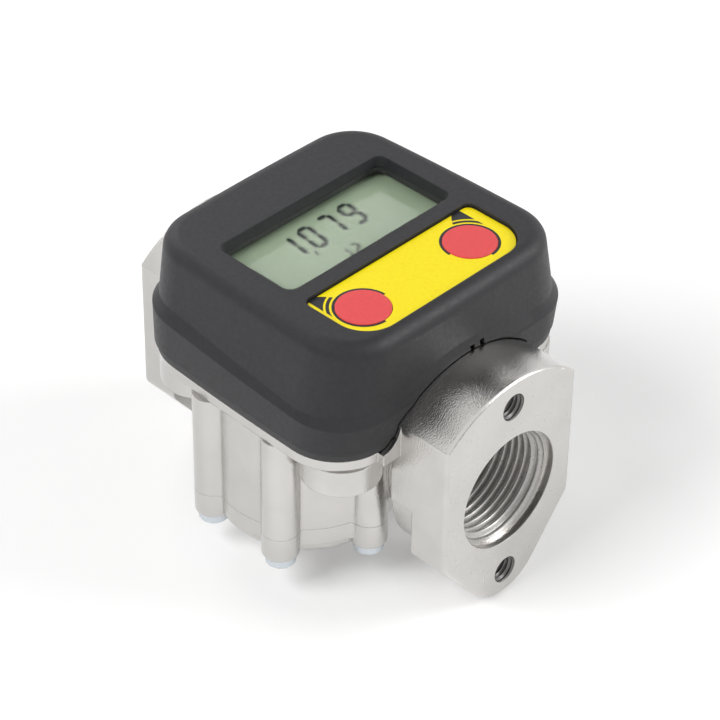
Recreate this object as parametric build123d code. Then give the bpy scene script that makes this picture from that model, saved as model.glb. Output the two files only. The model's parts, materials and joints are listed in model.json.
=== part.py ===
from build123d import *
import os
from math import acos, atan, atan2, cos, hypot, pi, radians, sin, sqrt, tan

# Digital fuel meter with two threaded ports, in millimetres.
# While it is drawn, the port axis is Y, the middle of the meter is at zero and up is +Z.
# Each piece is then moved along Y, so that the origin of the written files
# is the mouth of the front port's thread.

# Ports and flanges
PORT_TO_PORT = 115.0
THREAD_R = 16.62
THREAD_LENGTH = 17.0
MOUTH_R = 17.5
MOUTH_DEPTH = 2.5
THROAT_R = 11.0
FLANGE_WIDTH = 49.0
FLANGE_TOP_R = 36.0
FLANGE_DROP = 36.0
FLANGE_TIP_R = 14.5
FLANGE_DEPTH = 12.0
SHOULDER_DROP = 13.9
SHOULDER_R = 3.0
FACE_EDGE_R = 1.0
HUB_R = 24.0
HUB_DEPTH = 19.5
NECK_R = 18.5
FLANGE_BOLT_SPACING = 56.0
FLANGE_BOLT_R = 4.0
FLANGE_BOLT_DEPTH = 10.5

# Gears and their chamber
GEAR_MODULE = 2.4
GEAR_TEETH = 15
GEAR_ROOT_MODULES = 1.25
PRESSURE_ANGLE = 25.0
GEAR_BACKLASH = 0.24
GEAR_END_GAP = 0.2
GEAR_TIP_GAP = 0.25
CHAMBER_TOP = 13.0
PIN_R = 4.0
PIN_SEAT_TOP = 3.0
PIN_SEAT_COVER = 4.0
PIN_FIT = 0.03
BUSH_R = 6.0
BUSH_RUN_GAP = 0.05
BUSH_FIT = 0.02
MAGNET_COUNT = 4
MAGNET_R = 2.5
MAGNET_HEIGHT = 3.0
MAGNET_CIRCLE_R = 10.5
MAGNET_SINK = 0.2
MAGNET_FIT = 0.03

# Casting round the chamber
CHAMBER_WALL = 4.85
BRIDGE_INSET = 3.0
COVER_DROP = 16.0
LOBE_R = 5.2
LOBE_BLEND_R = 1.6
LOBE_OUTSET = 0.35
COVER_SCREW_ANGLES = (30.0, 86.0)
DECK_HEIGHT = 20.0
DECK_THICK = 3.5
DECK_OVERHANG = 2.0
PORT_REACH = 19.0
DECK_CORNER_R = 16.0
DECK_EDGE_R = 0.8
CORNER_BOSS_R = 10.9
CORNER_BOSS_HEIGHT = 8.0
SADDLE_R = 6.2
SADDLE_DEPTH = 3.0
SADDLE_GAP = 0.3

# Bottom cover, its seal and screws
COVER_LOBE_THICK = 8.0
COVER_PLATE_THICK = 5.5
COVER_DISH_INSET = 0.9
COVER_DISH_DROP = 9.6
COVER_DISH_EDGE_R = 3.0
COVER_EDGE_R = 0.8
SEAL_R = 0.8
SEAL_LAND = 0.7
SEAL_SQUEEZE_GAP = 0.05
SCREW_R = 2.5
SCREW_HEAD_R = 4.2
SCREW_HEAD_HEIGHT = 3.0
SCREW_HEAD_EDGE_R = 0.7
SCREW_BITE = 11.0
SCREW_HOLE_EXTRA = 2.0
SCREW_SOCKET_R = 1.9
SCREW_SOCKET_DEPTH = 1.8
THREAD_FIT = 0.05
SCREW_PASS_GAP = 0.25

# Display head: heights from the port axis, margins from the edges of the deck
GASKET_THICK = 0.5
GASKET_WIDTH = 3.0
BASE_FLANGE_THICK = 2.5
BASE_PROUD = 0.3
HEAD_TOP = 54.3
SKIRT_PROUD = 0.7
SKIRT_CORNER_R = 16.0
SKIRT_HEIGHT = 10.3
SKIRT_BULGE = 0.5
STEP_HEIGHT = 2.7
STEP_IN = 1.8
STEP_TILT = 3.2
RIM_RUN = 1.5
SKIRT_SHIFT_Y = -0.3
CROWN_IN_X = 5.3
CROWN_IN_Y = 0.2
CROWN_CORNER_R = 15.0
CROWN_SHIFT_Y = 0.6
SIDE_BOW = 0.8
REAR_TAPER = 2.8
HUMP_TOP = 39.2
HUMP_R = 70.9
NOTCH_PLACES = (2.6, 6.3)
NOTCH_WIDTH = 1.6
NOTCH_HEIGHT = 1.0
CROWN_EDGE_R = 4.5
RUBBER_WALL = 2.6
RUBBER_TOP_WALL = 3.0
RUBBER_FIT = 0.15
HOUSING_WALL = 2.2
HOUSING_SPLIT = 36.0
LID_TOP_WALL = 1.5

# Display window, glass and frame
WINDOW_MARGIN = 10.4
WINDOW_DEPTH = 27.5
WINDOW_Y = 6.75
WINDOW_CORNER_R = 3.0
WINDOW_TAPER = 16.0
LENS_RIM = 2.0
LENS_THICK = 1.5
LENS_FIT = 0.1
LCD_RIM = 0.5
LCD_THICK = 2.2
LCD_GAP = 0.1
FRAME_WALL = 1.2
STRIP_WIDTH = 2.4
STRIP_END_GAP = 4.0

# Keypad label and the two buttons
LABEL_MARGIN = 9.9
LABEL_REAR_Y = -12.0
LABEL_FRONT_Y = -34.6
LABEL_REAR_CORNER_R = 2.5
LABEL_FRONT_CORNER_R = 9.5
LABEL_THICK = 0.5
LABEL_SINK = 1.0
LABEL_FIT = 0.2
BUTTON_INSET = 11.0
BUTTON_MIDDLE_X = -1.0
BUTTON_Y = -23.7
BUTTON_R = 7.35
BUTTON_PROUD = 0.25
BUTTON_GAP = 0.15
BUTTON_COLLAR_R = 8.0
BUTTON_COLLAR_THICK = 1.2
BUTTON_TRAVEL = 0.8
BUTTON_CAP_SKIN = 2.6
STEM_R = 1.6

# Electronics
BOARD_MARGIN_X = 8.4
BOARD_MARGIN_Y = 8.5
BOARD_THICK = 1.6
BOARD_TOP = 41.0
SWITCH_SIDE = 6.0
SWITCH_HEIGHT = 3.5
PLUNGER_R = 1.7
PLUNGER_SINK = 1.5
PLUNGER_GAP = 0.1
HEAD_SCREW_INSET_X = 7.9
HEAD_SCREW_INSET_Y = 11.5
HEAD_SCREW_R = 2.0
HEAD_SCREW_HEAD_R = 3.5
HEAD_SCREW_HEAD_HEIGHT = 2.4
HEAD_SCREW_HEAD_SINK = 0.6
HEAD_SCREW_BITE = 9.0
POST_R = 4.4
STANDOFF_R = 1.6
STANDOFF_INSET = 10.5
CELL_R = 5.25
CELL_LENGTH = 44.5
CELL_TIP_R = 1.9
CELL_TIP_HEIGHT = 1.0
CELL_PITCH = 12.0
CELL_Y = 14.0
CELL_FIT = 0.15
HOLDER_WALL = 1.5
HOLDER_FLOOR = 1.2
CONTACT_THICK = 0.4
SENSOR_WIDTH = 9.0
SENSOR_THICK = 2.0
SENSOR_HEIGHT = 3.0
SENSOR_BOARD_THICK = 1.2
SENSOR_BOARD_WIDTH = 10.0
SENSOR_FLOOR = 2.4
SENSOR_GAP = 0.4
CHIP_SIDE = 10.0
CHIP_THICK = 1.4
CRYSTAL_WIDTH = 3.2
CRYSTAL_LENGTH = 9.0
CRYSTAL_HEIGHT = 3.0
CAPACITOR_R = 2.5
CAPACITOR_HEIGHT = 7.0
CAPACITOR_X = -10.0
CAPACITOR_Y = -10.0

# How far a cutting shape runs past a face, and how near two points count as one
CUT_EXTRA = 1.0
SAME_PLACE = 0.02

# Places that follow from the sizes above
HALF_LENGTH = PORT_TO_PORT / 2
FRAME_SHIFT = HALF_LENGTH - MOUTH_DEPTH
FLANGE_HALF_X = FLANGE_WIDTH / 2
FLANGE_CORNER_Z = sqrt(FLANGE_TOP_R**2 - FLANGE_HALF_X**2)
HUB_END = HALF_LENGTH - HUB_DEPTH
PITCH_R = GEAR_MODULE * GEAR_TEETH / 2
GEAR_TIP_R = PITCH_R + GEAR_MODULE
GEAR_X = PITCH_R
CHAMBER_R = GEAR_TIP_R + GEAR_TIP_GAP
BODY_R = CHAMBER_R + CHAMBER_WALL
BRIDGE_HALF_Y = BODY_R - BRIDGE_INSET
COVER_SCREW_CIRCLE_R = BODY_R + LOBE_OUTSET
COVER_DISH_R = BODY_R - COVER_DISH_INSET
GEAR_BOTTOM = GEAR_END_GAP - COVER_DROP
GEAR_TOP = CHAMBER_TOP - GEAR_END_GAP
DECK_HALF_X = GEAR_X + BODY_R + DECK_OVERHANG
DECK_HALF_Y = HALF_LENGTH - PORT_REACH
DECK_BOTTOM = DECK_HEIGHT - DECK_THICK
SADDLE_REACH = HUB_END + SADDLE_DEPTH
BASE_HALF_X = DECK_HALF_X + BASE_PROUD
BASE_HALF_Y = DECK_HALF_Y + BASE_PROUD
SKIRT_HALF_X = DECK_HALF_X + SKIRT_PROUD
SKIRT_HALF_Y = DECK_HALF_Y + SKIRT_PROUD
CROWN_HALF_X = SKIRT_HALF_X - CROWN_IN_X
CROWN_HALF_Y = SKIRT_HALF_Y - CROWN_IN_Y
WINDOW_WIDTH = 2 * (CROWN_HALF_X - WINDOW_MARGIN)
LCD_WIDTH = WINDOW_WIDTH + 2 * LCD_RIM
LCD_DEPTH = WINDOW_DEPTH + 2 * LCD_RIM
STRIP_LENGTH = LCD_WIDTH - 2 * STRIP_END_GAP
LABEL_HALF_X = CROWN_HALF_X - LABEL_MARGIN
BUTTON_X = LABEL_HALF_X - BUTTON_INSET
BOARD_HALF_X = CROWN_HALF_X - BOARD_MARGIN_X
BOARD_HALF_Y = CROWN_HALF_Y - BOARD_MARGIN_Y
HEAD_SCREW_X = CROWN_HALF_X - HEAD_SCREW_INSET_X
HEAD_SCREW_Y = CROWN_HALF_Y - HEAD_SCREW_INSET_Y
STANDOFF_X = BOARD_HALF_X - STANDOFF_INSET
BASE_BOTTOM = DECK_HEIGHT + GASKET_THICK
SKIRT_BOTTOM = BASE_BOTTOM + BASE_FLANGE_THICK
LID_TOP = HEAD_TOP - RUBBER_TOP_WALL
LENS_TOP = LID_TOP - LID_TOP_WALL
LCD_TOP = LENS_TOP - LENS_THICK - LCD_GAP
LCD_BOTTOM = LCD_TOP - LCD_THICK
LABEL_TOP = HEAD_TOP - LABEL_SINK
LABEL_BOTTOM = LABEL_TOP - LABEL_THICK
BUTTON_TOP = LABEL_TOP + BUTTON_PROUD
COLLAR_TOP = BUTTON_TOP - BUTTON_CAP_SKIN
COLLAR_BOTTOM = COLLAR_TOP - BUTTON_COLLAR_THICK
BOARD_BOTTOM = BOARD_TOP - BOARD_THICK
SWITCH_TOP = BOARD_TOP + SWITCH_HEIGHT
PLUNGER_TOP = SWITCH_TOP + BUTTON_TRAVEL + PLUNGER_GAP
HOUSING_INSET = RUBBER_WALL + RUBBER_FIT
BUTTON_PLACES = {
    "total": (BUTTON_MIDDLE_X - BUTTON_X, BUTTON_Y),
    "reset": (BUTTON_MIDDLE_X + BUTTON_X, BUTTON_Y),
}
SENSOR_X = GEAR_X + MAGNET_CIRCLE_R
GEAR_SIDES = {"left": -GEAR_X, "right": GEAR_X}


# General helpers

def upright(outline, low, high):
    """Prism of an outline in X and Y, from one height to another."""
    return extrude(Pos(0, 0, low) * outline, high - low)


def along_port(outline, near_y, far_y):
    """Prism of an outline drawn in X and Z, from one Y to a larger one."""
    return extrude(Plane.XZ.offset(-far_y) * outline, far_y - near_y)


def both_ends(piece):
    """A piece of the front end together with its mirror image at the rear."""
    return piece + mirror(piece, about=Plane.XZ)


def round_bar(radius, low, high, x=0.0, y=0.0):
    """Upright round bar between two heights."""
    return upright(Pos(x, y) * Circle(radius), low, high)


def port_bar(radius, near_y, far_y, z=0.0):
    """Round bar that lies along the port axis."""
    return along_port(Pos(0, z) * Circle(radius), near_y, far_y)


def block(x_pair, y_pair, z_pair):
    """Rectangular block between pairs of coordinates."""
    size = [pair[1] - pair[0] for pair in (x_pair, y_pair, z_pair)]
    middle = [(pair[1] + pair[0]) / 2 for pair in (x_pair, y_pair, z_pair)]
    return Pos(*middle) * Box(*size)


def cover_screw_places():
    """The eight cover screws, on a circle round each gear axis."""
    places = []
    for side in (-1, 1):
        for end in (-1, 1):
            for angle in COVER_SCREW_ANGLES:
                x = side * (GEAR_X + COVER_SCREW_CIRCLE_R * cos(radians(angle)))
                places.append((x, end * COVER_SCREW_CIRCLE_R * sin(radians(angle))))
    return places


def head_screw_places():
    """The four head screws; the rear ones stand closer, as the head narrows to the rear."""
    places = []
    for side in (-1, 1):
        for end in (-1, 1):
            y = end * HEAD_SCREW_Y
            narrowing = REAR_TAPER * (y + DECK_HALF_Y) / (2 * DECK_HALF_Y)
            places.append((side * (HEAD_SCREW_X - narrowing), y))
    return places


def bowed_outline(half_x, half_y, corner_r):
    """Rectangle with gently bowed sides and round corners, a little narrower at the rear."""
    rear_x = half_x - REAR_TAPER
    side_x = (half_x + rear_x) / 2 + SIDE_BOW
    right = ThreePointArc((half_x, -half_y), (side_x, 0), (rear_x, half_y))
    rear = ThreePointArc((rear_x, half_y), (0, half_y + SIDE_BOW), (-rear_x, half_y))
    left = ThreePointArc((-rear_x, half_y), (-side_x, 0), (-half_x, -half_y))
    front = ThreePointArc((-half_x, -half_y), (0, -half_y - SIDE_BOW), (half_x, -half_y))
    face = make_face([right, rear, left, front])
    return fillet(face.vertices(), corner_r)


# The casting

def flange_outline():
    """Flange seen along the port: round top, straight sides and a tapered round tip."""
    tip_z = FLANGE_TIP_R - FLANGE_DROP
    drop = -SHOULDER_DROP - tip_z
    reach = hypot(FLANGE_HALF_X, drop)
    lean = atan2(drop, FLANGE_HALF_X) - acos(FLANGE_TIP_R / reach)
    touch_x = FLANGE_TIP_R * cos(lean)
    touch_z = tip_z + FLANGE_TIP_R * sin(lean)
    right_top = (FLANGE_HALF_X, FLANGE_CORNER_Z)
    left_top = (-FLANGE_HALF_X, FLANGE_CORNER_Z)
    right_shoulder = (FLANGE_HALF_X, -SHOULDER_DROP)
    left_shoulder = (-FLANGE_HALF_X, -SHOULDER_DROP)
    outline = make_face(
        [
            ThreePointArc(right_top, (0, FLANGE_TOP_R), left_top),
            Line(left_top, left_shoulder),
            Line(left_shoulder, (-touch_x, touch_z)),
            ThreePointArc((-touch_x, touch_z), (0, -FLANGE_DROP), (touch_x, touch_z)),
            Line((touch_x, touch_z), right_shoulder),
            Line(right_shoulder, right_top),
        ]
    )
    shoulders = [v for v in outline.vertices() if abs(v.Y + SHOULDER_DROP) < SAME_PLACE]
    return fillet(shoulders, SHOULDER_R)


def hub_outline():
    """Section of the port behind the flange: arched above, square at the sides, round below."""
    upper = Pos(0, FLANGE_TOP_R / 2) * Rectangle(FLANGE_WIDTH, FLANGE_TOP_R)
    return Circle(FLANGE_TOP_R) & upper + Circle(HUB_R)


def saddle_corner(gap, foot_z):
    """Concave fillet between the deck and the side of the hub, on both sides."""
    corner = FLANGE_HALF_X + SADDLE_R
    middle_z = DECK_HEIGHT + SADDLE_R
    height = middle_z - foot_z
    web = Pos(0, foot_z + height / 2) * Rectangle(2 * corner, height)
    hollow = Circle(SADDLE_R - gap)
    return web - Pos(corner, middle_z) * hollow - Pos(-corner, middle_z) * hollow


def saddle_cut(gap):
    """What the head leaves free over each port: the hub and its fillets, grown by a gap."""
    side = Rectangle(2 * (FLANGE_HALF_X + gap), 4 * FLANGE_TOP_R)
    arch = Circle(FLANGE_TOP_R + gap) & side
    outline = arch + saddle_corner(gap, 0)
    return both_ends(along_port(outline, -HALF_LENGTH, -HUB_END + gap))


def lobed_outline(radius):
    """Outline of the body: two round walls, the bridge between them and eight screw lobes."""
    outline = Rectangle(2 * GEAR_X, 2 * BRIDGE_HALF_Y)
    for x in GEAR_SIDES.values():
        outline += Pos(x, 0) * Circle(radius)
    for x, y in cover_screw_places():
        outline += Pos(x, y) * Circle(LOBE_R)
    creases = []
    for vertex in outline.vertices():
        for x, y in cover_screw_places():
            if abs(hypot(vertex.X - x, vertex.Y - y) - LOBE_R) < SAME_PLACE:
                creases.append(vertex)
    return fillet(creases, LOBE_BLEND_R)


def port_end():
    """Front flange with its hub, the neck to the chamber and the saddle beside the hub."""
    flange = along_port(flange_outline(), -HALF_LENGTH, FLANGE_DEPTH - HALF_LENGTH)
    face = flange.faces().sort_by(Axis.Y)[0]
    flange = fillet(face.edges(), FACE_EDGE_R)
    hub = along_port(hub_outline(), FLANGE_DEPTH - HALF_LENGTH, -HUB_END)
    neck = port_bar(NECK_R, -HUB_END, 0)
    neck += block((-NECK_R, NECK_R), (-HUB_END, 0), (0, DECK_BOTTOM))
    neck &= block((-NECK_R, NECK_R), (-HUB_END, 0), (-COVER_DROP, DECK_BOTTOM))
    saddle = along_port(saddle_corner(0, DECK_BOTTOM), -SADDLE_REACH, -HUB_END)
    return flange + hub + neck + saddle


def port_hollow():
    """What is bored out of the front end: mouth, thread bore, throat and two bolt holes."""
    thread_start = MOUTH_DEPTH - HALF_LENGTH
    thread_end = thread_start + THREAD_LENGTH
    hollow = port_bar(MOUTH_R, -HALF_LENGTH - CUT_EXTRA, thread_start)
    hollow += port_bar(THREAD_R, thread_start, thread_end)
    hollow += port_bar(THROAT_R, thread_end, 0)
    for z in (-FLANGE_BOLT_SPACING / 2, FLANGE_BOLT_SPACING / 2):
        hollow += port_bar(FLANGE_BOLT_R, -HALF_LENGTH - CUT_EXTRA, FLANGE_BOLT_DEPTH - HALF_LENGTH, z)
    return hollow


def chamber_hollow():
    """Two overlapping round wells for the gears, with the blind seats of the gear pins."""
    hollow = Part()
    for x in GEAR_SIDES.values():
        hollow += round_bar(CHAMBER_R, -COVER_DROP, CHAMBER_TOP, x)
        hollow += round_bar(PIN_R + PIN_FIT, CHAMBER_TOP, CHAMBER_TOP + PIN_SEAT_TOP, x)
    return hollow


def sensor_pocket():
    """Pocket in the deck for the pulse sensor and the foot of its board."""
    half_x = SENSOR_BOARD_WIDTH / 2 + SENSOR_GAP
    half_y = SENSOR_BOARD_THICK / 2 + SENSOR_THICK + SENSOR_GAP
    x_pair = (SENSOR_X - half_x, SENSOR_X + half_x)
    return block(x_pair, (-half_y, half_y), (CHAMBER_TOP + SENSOR_FLOOR, DECK_HEIGHT))


def meter_body():
    """Cast body: gear chamber, screw lobes, deck with corner bosses, and both ports."""
    deck_outline = bowed_outline(DECK_HALF_X, DECK_HALF_Y, DECK_CORNER_R)
    deck = upright(deck_outline, DECK_BOTTOM, DECK_HEIGHT)
    deck = fillet(deck.edges().group_by(Axis.Z)[0], DECK_EDGE_R)
    body = upright(lobed_outline(BODY_R), -COVER_DROP, DECK_BOTTOM) + deck
    for x, y in head_screw_places():
        boss_foot = DECK_BOTTOM - CORNER_BOSS_HEIGHT
        body += round_bar(CORNER_BOSS_R, boss_foot, DECK_BOTTOM, x, y)
    body += both_ends(port_end())
    body -= chamber_hollow() + sensor_pocket() + both_ends(port_hollow())
    body -= seal_groove()
    screw_top = SCREW_BITE + SCREW_HOLE_EXTRA - COVER_DROP
    for x, y in cover_screw_places():
        body -= round_bar(SCREW_R + THREAD_FIT, -COVER_DROP, screw_top, x, y)
    for x, y in head_screw_places():
        hole_foot = DECK_HEIGHT - HEAD_SCREW_BITE - SCREW_HOLE_EXTRA
        body -= round_bar(HEAD_SCREW_R + THREAD_FIT, hole_foot, DECK_HEIGHT, x, y)
    return body


# Cover, seal and screws

def seal_track(radius):
    """Area inside a line that runs round both gear wells at a radius."""
    track = Rectangle(2 * GEAR_X, 2 * (radius - SEAL_LAND))
    for x in GEAR_SIDES.values():
        track += Pos(x, 0) * Circle(radius)
    return track


def seal_ring(inner, outer, low, high):
    """Ring round both gear wells."""
    return upright(seal_track(outer) - seal_track(inner), low, high)


def seal_groove():
    """Groove of the cover seal, in the foot of the casting."""
    inner = CHAMBER_R + SEAL_LAND - SEAL_SQUEEZE_GAP
    outer = CHAMBER_R + SEAL_LAND + 2 * SEAL_R + SEAL_SQUEEZE_GAP
    return seal_ring(inner, outer, -COVER_DROP, 2 * SEAL_R - COVER_DROP)


def cover_seal():
    """Rubber ring that seals the cover, squeezed flat in its groove."""
    inner = CHAMBER_R + SEAL_LAND
    return seal_ring(inner, inner + 2 * SEAL_R, -COVER_DROP, 2 * SEAL_R - COVER_DROP)


def bottom_cover():
    """Cast cover under the gears: a lobed plate with a shallow round dish below each gear."""
    plate = upright(lobed_outline(BODY_R), -COVER_DROP - COVER_PLATE_THICK, -COVER_DROP)
    lobe_foot = -COVER_DROP - COVER_LOBE_THICK
    for x, y in cover_screw_places():
        lobe = round_bar(LOBE_R, lobe_foot, -COVER_DROP, x, y)
        plate += fillet(lobe.edges().group_by(Axis.Z)[0], COVER_EDGE_R)
    for x in GEAR_SIDES.values():
        dish = round_bar(COVER_DISH_R, -COVER_DROP - COVER_DISH_DROP, -COVER_DROP, x)
        plate += fillet(dish.edges().group_by(Axis.Z)[0], COVER_DISH_EDGE_R)
    for x in GEAR_SIDES.values():
        plate -= round_bar(PIN_R + PIN_FIT, -COVER_DROP - PIN_SEAT_COVER, -COVER_DROP, x)
    for x, y in cover_screw_places():
        plate -= round_bar(SCREW_R + SCREW_PASS_GAP, lobe_foot, -COVER_DROP, x, y)
        head_room = lobe_foot - COVER_DISH_DROP
        plate -= round_bar(SCREW_HEAD_R + SCREW_PASS_GAP, head_room, lobe_foot, x, y)
    return plate


def cover_screws():
    """Eight socket screws that hold the cover from below."""
    seat = -COVER_DROP - COVER_LOBE_THICK
    screws = []
    for x, y in cover_screw_places():
        head = round_bar(SCREW_HEAD_R, seat - SCREW_HEAD_HEIGHT, seat)
        head = fillet(head.edges().group_by(Axis.Z)[0], SCREW_HEAD_EDGE_R)
        socket = RegularPolygon(SCREW_SOCKET_R, 6)
        foot = seat - SCREW_HEAD_HEIGHT
        head -= upright(socket, foot, foot + SCREW_SOCKET_DEPTH)
        shank = round_bar(SCREW_R, seat, SCREW_BITE - COVER_DROP)
        screws.append(Pos(x, y, 0) * (head + shank))
    return screws


# Gears

def polar(radius, angle):
    """Point at a radius and an angle in radians."""
    return (radius * cos(angle), radius * sin(angle))


def gear_outline():
    """Involute spur gear outline; the first tooth points along +X."""
    pressure = radians(PRESSURE_ANGLE)
    base_r = PITCH_R * cos(pressure)
    root_r = PITCH_R - GEAR_ROOT_MODULES * GEAR_MODULE
    pitch_half = (pi * GEAR_MODULE - GEAR_BACKLASH) / (4 * PITCH_R)
    base_half = pitch_half + tan(pressure) - pressure

    def flank_half(radius):
        roll = sqrt((radius / base_r) ** 2 - 1)
        return base_half - (roll - atan(roll))

    steps = [base_r + (GEAR_TIP_R - base_r) * share for share in (0, 0.25, 0.6, 1)]
    turn = 2 * pi / GEAR_TEETH
    edges = []
    for tooth in range(GEAR_TEETH):
        middle = tooth * turn
        rising = [polar(r, middle - flank_half(r)) for r in steps]
        falling = [polar(r, middle + flank_half(r)) for r in reversed(steps)]
        root_in = polar(root_r, middle - base_half)
        root_out = polar(root_r, middle + base_half)
        next_root = polar(root_r, middle + turn - base_half)
        edges.append(Line(root_in, rising[0]))
        edges.append(Spline(*rising))
        edges.append(ThreePointArc(rising[-1], polar(GEAR_TIP_R, middle), falling[0]))
        edges.append(Spline(*falling))
        edges.append(Line(falling[-1], root_out))
        edges.append(ThreePointArc(root_out, polar(root_r, middle + turn / 2), next_root))
    return make_face(edges)


def magnet_places():
    """Magnets of the right gear, evenly round its axis."""
    turn = 2 * pi / MAGNET_COUNT
    offsets = [polar(MAGNET_CIRCLE_R, turn * k) for k in range(MAGNET_COUNT)]
    return [(GEAR_X + x, y) for x, y in offsets]


def gear(x):
    """Spur gear with the bore for its bush."""
    wheel = upright(Pos(x, 0) * gear_outline(), GEAR_BOTTOM, GEAR_TOP)
    return wheel - round_bar(BUSH_R + BUSH_FIT, GEAR_BOTTOM, GEAR_TOP, x)


def right_gear():
    """Gear that also carries the magnets, in pockets in its top face."""
    wheel = gear(GEAR_X)
    pocket_foot = GEAR_TOP - MAGNET_SINK - MAGNET_HEIGHT
    for x, y in magnet_places():
        wheel -= round_bar(MAGNET_R + MAGNET_FIT, pocket_foot, GEAR_TOP, x, y)
    return wheel


def gear_magnets():
    """Disc magnets that the pulse sensor counts."""
    top = GEAR_TOP - MAGNET_SINK
    return [round_bar(MAGNET_R, top - MAGNET_HEIGHT, top, x, y) for x, y in magnet_places()]


def gear_bush(x):
    """Plain bush pressed into a gear, running on its pin."""
    bush = Circle(BUSH_R) - Circle(PIN_R + BUSH_RUN_GAP)
    return upright(Pos(x, 0) * bush, GEAR_BOTTOM, GEAR_TOP)


def gear_pins():
    """Fixed pins that the gears turn on, held in the casting and in the cover."""
    low = -COVER_DROP - PIN_SEAT_COVER
    high = CHAMBER_TOP + PIN_SEAT_TOP
    return [round_bar(PIN_R, low, high, x) for x in GEAR_SIDES.values()]


# The display head

def crown_section(z, inset):
    """Outline of the head's upper walls at a height, moved in by an inset."""
    step_top = SKIRT_BOTTOM + SKIRT_HEIGHT + STEP_HEIGHT
    share = (z - step_top) / (HEAD_TOP - step_top)
    foot_x = SKIRT_HALF_X + SKIRT_BULGE - STEP_IN
    foot_y = SKIRT_HALF_Y + SKIRT_BULGE - STEP_IN / 2
    half_x = foot_x + (CROWN_HALF_X - foot_x) * share
    half_y = foot_y + (CROWN_HALF_Y - foot_y) * share
    corner_r = SKIRT_CORNER_R + (CROWN_CORNER_R - SKIRT_CORNER_R) * share
    outline = bowed_outline(half_x - inset, half_y - inset, corner_r - inset)
    return Pos(0, CROWN_SHIFT_Y * share, z) * outline


def skirt_form(inset):
    """Skirt with the sloping rim of its step, both tilted, so that they rise to the rear."""
    drop = SKIRT_HALF_Y * tan(radians(STEP_TILT))
    foot = -SKIRT_HEIGHT - drop - CUT_EXTRA
    levels = [(foot, -SKIRT_BULGE, 0), (0, 0, 0), (STEP_HEIGHT * RIM_RUN, 0, STEP_IN * RIM_RUN)]
    sections = []
    for z, grow, step in levels:
        half_x = SKIRT_HALF_X + SKIRT_BULGE + grow - step - inset
        half_y = SKIRT_HALF_Y + SKIRT_BULGE + grow - step / 2 - inset
        sections.append(Pos(0, 0, z) * bowed_outline(half_x, half_y, SKIRT_CORNER_R - inset))
    step_foot = Pos(0, SKIRT_SHIFT_Y, SKIRT_BOTTOM + SKIRT_HEIGHT)
    tilted = step_foot * Rot(STEP_TILT, 0, 0) * loft(sections, ruled=True)
    return tilted & upright(Rectangle(4 * SKIRT_HALF_X, 4 * SKIRT_HALF_Y), SKIRT_BOTTOM, HEAD_TOP)


def head_form(inset, top, edge_r):
    """Solid form of the head, all its walls moved in by an inset, with a round top edge."""
    drop = SKIRT_HALF_Y * tan(radians(STEP_TILT))
    crown_foot = SKIRT_BOTTOM + SKIRT_HEIGHT + STEP_HEIGHT - drop - CUT_EXTRA
    crown = loft([crown_section(crown_foot, inset), crown_section(top, inset)], ruled=True)
    crown = fillet(crown.edges().group_by(Axis.Z)[-1], edge_r)
    return crown + skirt_form(inset)


def front_hump():
    """Skirt's raised band over the front port, with the same sloping rim as the step."""
    wall_y = SKIRT_HALF_Y + SKIRT_BULGE + SIDE_BOW
    rim_depth = STEP_IN / 2
    inner_r = HUMP_R + STEP_HEIGHT
    outer_r = HUMP_R - 2 * STEP_HEIGHT
    cone = Rot(90, 0, 0) * Cone(inner_r, outer_r, 3 * rim_depth)
    outline = bowed_outline(SKIRT_HALF_X + SKIRT_BULGE, SKIRT_HALF_Y + SKIRT_BULGE, SKIRT_CORNER_R)
    foot = SKIRT_BOTTOM + SKIRT_HEIGHT - SKIRT_HALF_Y * tan(radians(STEP_TILT))
    return Pos(0, rim_depth / 2 - wall_y, HUMP_TOP - HUMP_R) * cone & upright(outline, foot, HEAD_TOP)


def arch_notches():
    """Two small notches in the edge of the front arch, beside its middle."""
    low = FLANGE_TOP_R + SADDLE_GAP - NOTCH_HEIGHT
    y_pair = (-HALF_LENGTH, -SKIRT_HALF_Y)
    cuts = Part()
    for x in NOTCH_PLACES:
        x_pair = (x - NOTCH_WIDTH / 2, x + NOTCH_WIDTH / 2)
        cuts += block(x_pair, y_pair, (low, low + 2 * NOTCH_HEIGHT))
    return cuts


def window_outline(shrink):
    """Outline of the display window, moved in by an amount."""
    corner_r = WINDOW_CORNER_R
    outline = RectangleRounded(WINDOW_WIDTH - 2 * shrink, WINDOW_DEPTH - 2 * shrink, corner_r)
    return Pos(0, WINDOW_Y) * outline


def label_outline(grow):
    """Keypad label: small corners beside the window, large round ones at the front."""
    half_x = LABEL_HALF_X + grow
    rear = LABEL_REAR_Y + grow
    front = LABEL_FRONT_Y - grow
    face = Pos(0, (rear + front) / 2) * Rectangle(2 * half_x, rear - front)
    face = fillet(face.vertices().group_by(Axis.Y)[0], LABEL_FRONT_CORNER_R + grow)
    return fillet(face.vertices().group_by(Axis.Y)[-1], LABEL_REAR_CORNER_R + grow)


def window_shrink():
    """How far the tapered sides of the window close in over the rubber's top wall."""
    return RUBBER_TOP_WALL * tan(radians(WINDOW_TAPER))


def rubber_cover():
    """Soft outer cover: flared skirt, arches over the ports, window and label openings."""
    cover = head_form(0, HEAD_TOP, CROWN_EDGE_R) + front_hump()
    cavity_edge_r = CROWN_EDGE_R - RUBBER_WALL
    cover -= head_form(RUBBER_WALL, LID_TOP, cavity_edge_r)
    cut = Pos(0, 0, HEAD_TOP) * window_outline(0)
    cover -= extrude(cut, -RUBBER_TOP_WALL, taper=WINDOW_TAPER)
    cover -= upright(label_outline(LABEL_FIT), LID_TOP, HEAD_TOP)
    return cover - saddle_cut(SADDLE_GAP) - arch_notches()


def housing_form(inset, top):
    """Form of the hard housing inside the rubber."""
    edge_r = CROWN_EDGE_R - RUBBER_WALL
    return head_form(HOUSING_INSET + inset, top, edge_r)


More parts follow.
